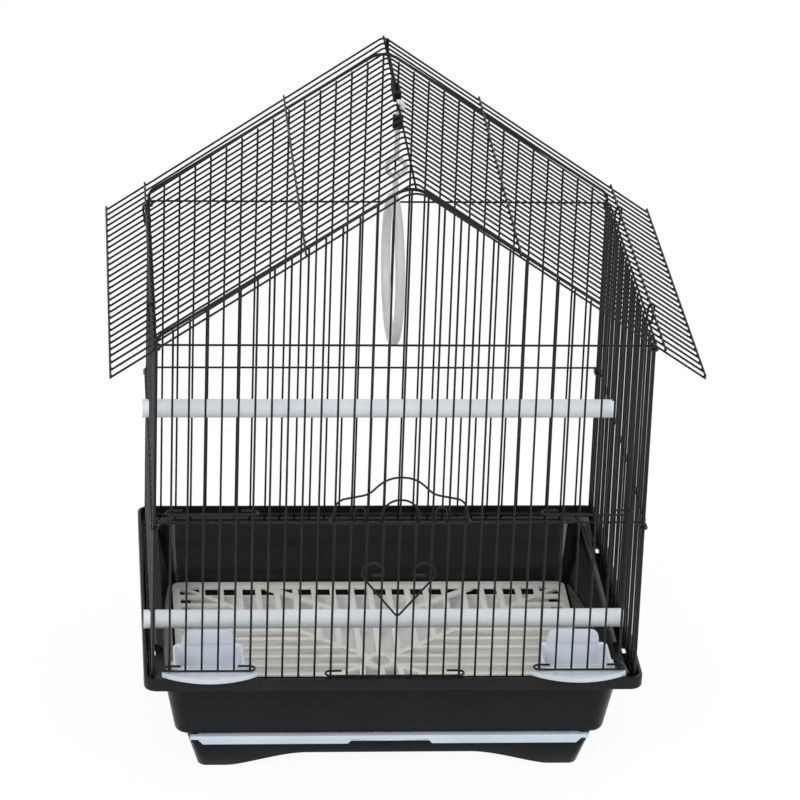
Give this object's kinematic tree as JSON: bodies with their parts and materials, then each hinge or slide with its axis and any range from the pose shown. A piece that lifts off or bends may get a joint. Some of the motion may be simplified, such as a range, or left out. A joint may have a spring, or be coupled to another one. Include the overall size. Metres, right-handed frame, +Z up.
{
  "type": "budgie cage",
  "caption": "House-shaped wire budgie cage on a moulded base with pull-out tray, lift-up doors, cups, perches and a ring swing.",
  "frame": {"origin": "on the floor under the middle of the base, midway between the side walls and between the front and rear walls", "axes": "+Z up along the cage's height, -Y towards the front with the doors and the tray, +X to the right seen from the front"},
  "size_m": [0.388, 0.3013, 0.4564],
  "materials": {
    "black_wire": "satin black coating",
    "black_plastic": "black moulded plastic, satin gloss",
    "tray_plastic": "bluish white moulded plastic",
    "grille_plastic": "pale grey moulded plastic",
    "white_plastic": "white moulded plastic"
  },
  "bodies": {
    "base": {"base_tub": "black_plastic", "base_stand": "black_plastic", "floor_grille": "grille_plastic"},
    "tray": {"pull_out_tray": "tray_plastic"},
    "cage": {"front_frame": "black_wire", "rear_frame": "black_wire", "front_panel": "black_wire", "rear_panel": "black_wire", "left_panel": "black_wire", "right_panel": "black_wire", "roof_left": "black_wire", "roof_right": "black_wire", "ridge_wire": "black_wire", "roof_clips": "black_wire", "corner_clips": "black_wire", "left_cup": "white_plastic", "right_cup": "white_plastic", "lower_perch": "white_plastic", "upper_perch": "white_plastic", "hanger_saddle": "black_plastic", "hanger_pin": "black_wire"},
    "main_door_body": {"main_door": "black_wire", "door_scrollwork": "black_wire"},
    "left_cup_door_body": {"left_cup_door": "black_wire"},
    "right_cup_door_body": {"right_cup_door": "black_wire"},
    "swing_link": {"swing_hook": "white_plastic", "swing_collar": "black_plastic"},
    "swing": {"swing_hoop": "white_plastic"},
    "hook": {"hanging_hook": "black_wire"}
  },
  "joints": [
    {"name": "tray_slide", "type": "slide", "parent": "base", "child": "tray", "axis": [0, -1, 0], "range_m": [0, 0.2]},
    {"name": "top_lift", "type": "slide", "parent": "base", "child": "cage", "axis": [0, 0, 1], "range_m": [0, 0.1]},
    {"name": "main_door_lift", "type": "slide", "parent": "cage", "child": "main_door_body", "axis": [0, 0, 1], "range_m": [0, 0.104]},
    {"name": "left_cup_door_lift", "type": "slide", "parent": "cage", "child": "left_cup_door_body", "axis": [0, 0, 1], "range_m": [0, 0.104]},
    {"name": "right_cup_door_lift", "type": "slide", "parent": "cage", "child": "right_cup_door_body", "axis": [0, 0, 1], "range_m": [0, 0.104]},
    {"name": "swing_link_hinge", "type": "hinge", "parent": "cage", "child": "swing_link", "pos_m": [0, -0.00527, 0.44509], "axis": [0, 1, 0], "range_deg": [-35, 35]},
    {"name": "swing_hoop_hinge", "type": "hinge", "parent": "swing_link", "child": "swing", "pos_m": [0, -0.00527, 0.39505], "axis": [1, 0, 0], "range_deg": [-25, 25]},
    {"name": "hook_hinge", "type": "hinge", "parent": "cage", "child": "hook", "pos_m": [0, 0.0095, 0.44879], "axis": [1, 0, 0], "range_deg": [0, 95]}
  ]
}
